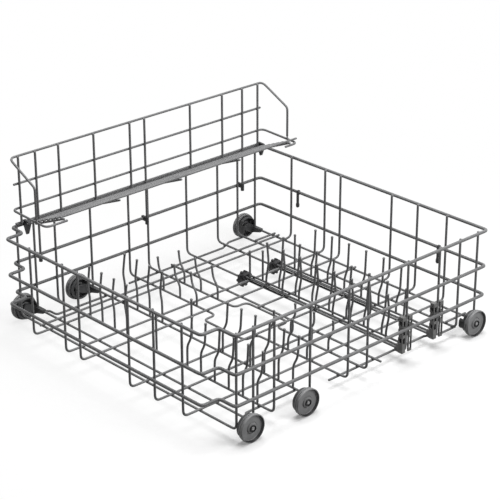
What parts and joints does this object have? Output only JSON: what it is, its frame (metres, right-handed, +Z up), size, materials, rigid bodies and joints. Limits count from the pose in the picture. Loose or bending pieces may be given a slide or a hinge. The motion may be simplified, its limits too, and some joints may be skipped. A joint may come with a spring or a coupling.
{
  "type": "dishwasher basket",
  "caption": "Lower dishwasher rack of welded coated wire on wheels, with fixed and fold-down tines, a raised side frame and a hinged cup shelf.",
  "frame": {"origin": "on the ground under the middle of the rail loops", "axes": "+X towards the wall without the raised frame, +Y towards the back wall, +Z up"},
  "size_m": [0.5292, 0.5572, 0.2794],
  "materials": {
    "coated_wire": "smooth coated, satin",
    "bracket_plastic": "moulded, matte",
    "bearing_plastic": "moulded, matte",
    "clip_plastic": "moulded, satin",
    "wheel_plastic": "moulded, satin"
  },
  "bodies": {
    "basket": {"low_rail": "coated_wire", "middle_rail": "coated_wire", "top_rail": "coated_wire", "cross_wire_corner": "coated_wire", "cross_wire_front_row": "coated_wire", "cross_wire_front_bar": "coated_wire", "cross_wire_rear_bar": "coated_wire", "cross_wire_back": "coated_wire", "cross_wire_jog_front": "coated_wire", "cross_wire_jog_rear": "coated_wire", "wheel_wire_front": "coated_wire", "wheel_wire_second": "coated_wire", "wheel_wire_rear": "coated_wire", "wall_posts": "coated_wire", "long_wire_1": "coated_wire", "long_wire_2": "coated_wire", "long_wire_3": "coated_wire", "long_wire_4": "coated_wire", "long_wire_5": "coated_wire", "long_wire_6": "coated_wire", "floor_stringer": "coated_wire", "side_wire": "coated_wire", "middle_wire": "coated_wire", "stub_wires": "coated_wire", "runner_left": "coated_wire", "runner_right": "coated_wire", "tall_tines_front": "coated_wire", "tall_tines_rear": "coated_wire", "short_tines_front": "coated_wire", "short_tines_rear": "coated_wire", "rear_bar_rod": "coated_wire", "frame_top_wire": "coated_wire", "frame_arm_wire": "coated_wire", "frame_middle_wire": "coated_wire", "frame_foot_wire": "coated_wire", "frame_uprights": "coated_wire", "frame_legs": "coated_wire", "wheel_brackets_left": "bracket_plastic", "wheel_brackets_right": "bracket_plastic", "bearing_front": "bearing_plastic", "bearing_rear": "bearing_plastic", "ladder_clip_front": "clip_plastic", "ladder_clip_rear": "clip_plastic", "leg_clips": "clip_plastic", "pivot_clips": "clip_plastic", "spare_clips": "clip_plastic"},
    "wheel_left_front_body": {"wheel_left_front": "wheel_plastic"},
    "wheel_left_second_body": {"wheel_left_second": "wheel_plastic"},
    "wheel_left_rear_body": {"wheel_left_rear": "wheel_plastic"},
    "wheel_right_front_body": {"wheel_right_front": "wheel_plastic"},
    "wheel_right_second_body": {"wheel_right_second": "wheel_plastic"},
    "wheel_right_rear_body": {"wheel_right_rear": "wheel_plastic"},
    "front_comb_body": {"comb_front": "coated_wire"},
    "middle_comb_body": {"comb_middle": "coated_wire"},
    "rear_comb_body": {"comb_rear": "coated_wire"},
    "shelf_body": {"shelf_hinge_wire": "coated_wire", "shelf_wires": "coated_wire", "shelf_bars": "coated_wire"}
  },
  "joints": [
    {"name": "wheel_left_front_roll", "type": "hinge", "parent": "basket", "child": "wheel_left_front_body", "pos_m": [-0.26, -0.223, 0.0215], "axis": [1, 0, 0], "continuous": true},
    {"name": "wheel_left_second_roll", "type": "hinge", "parent": "basket", "child": "wheel_left_second_body", "pos_m": [-0.26, -0.117, 0.0215], "axis": [1, 0, 0], "continuous": true},
    {"name": "wheel_left_rear_roll", "type": "hinge", "parent": "basket", "child": "wheel_left_rear_body", "pos_m": [-0.26, 0.2445, 0.0215], "axis": [1, 0, 0], "continuous": true},
    {"name": "wheel_right_front_roll", "type": "hinge", "parent": "basket", "child": "wheel_right_front_body", "pos_m": [0.26, -0.223, 0.0215], "axis": [1, 0, 0], "continuous": true},
    {"name": "wheel_right_second_roll", "type": "hinge", "parent": "basket", "child": "wheel_right_second_body", "pos_m": [0.26, -0.117, 0.0215], "axis": [1, 0, 0], "continuous": true},
    {"name": "wheel_right_rear_roll", "type": "hinge", "parent": "basket", "child": "wheel_right_rear_body", "pos_m": [0.26, 0.2445, 0.0215], "axis": [1, 0, 0], "continuous": true},
    {"name": "front_comb_fold", "type": "hinge", "parent": "basket", "child": "front_comb_body", "pos_m": [0, 0.0983, 0.02515], "axis": [1, 0, 0], "range_deg": [0, 85]},
    {"name": "middle_comb_fold", "type": "hinge", "parent": "basket", "child": "middle_comb_body", "pos_m": [0, 0.1077, 0.02515], "axis": [1, 0, 0], "range_deg": [0, 62]},
    {"name": "rear_comb_fold", "type": "hinge", "parent": "basket", "child": "rear_comb_body", "pos_m": [0, 0.1767, 0.02515], "axis": [-1, 0, 0], "range_deg": [0, 85]},
    {"name": "shelf_fold", "type": "hinge", "parent": "basket", "child": "shelf_body", "pos_m": [-0.234, 0, 0.1696], "axis": [0, -1, 0], "range_deg": [0, 60]}
  ]
}
